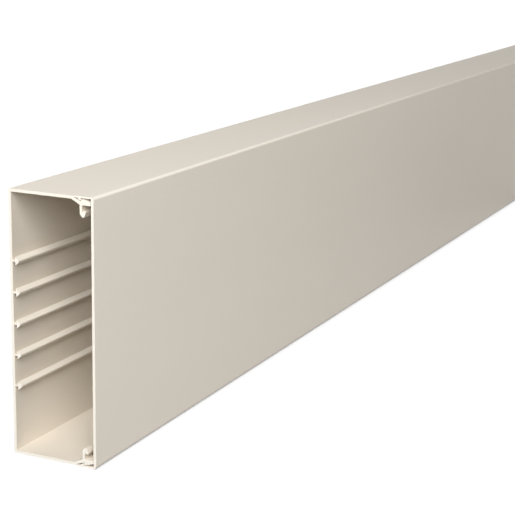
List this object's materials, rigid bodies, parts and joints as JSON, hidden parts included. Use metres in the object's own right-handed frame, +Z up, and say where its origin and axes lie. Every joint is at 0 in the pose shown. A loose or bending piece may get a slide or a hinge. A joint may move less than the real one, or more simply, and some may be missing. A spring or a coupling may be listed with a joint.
{
  "type": "cable trunking",
  "caption": "Rectangular wall trunking: a deep U-shaped base channel with arrow-headed inner rails and clip brackets, closed along its front by a flat clip-on cover.",
  "frame": {"origin": "on the underside, below the middle of the length and of the depth", "axes": "+X along the length, +Y towards the wall (the cover faces -Y), +Z up across the section"},
  "size_m": [2, 0.06, 0.17],
  "materials": {
    "base_pvc": "satin cream white",
    "cover_pvc": "satin cream white"
  },
  "bodies": {
    "channel": {"base_channel": "base_pvc"},
    "cover": {"clip_cover": "cover_pvc"}
  },
  "joints": [
    {"name": "cover_slide", "type": "slide", "parent": "channel", "child": "cover", "axis": [1, 0, 0], "range_m": [0, 2]}
  ]
}
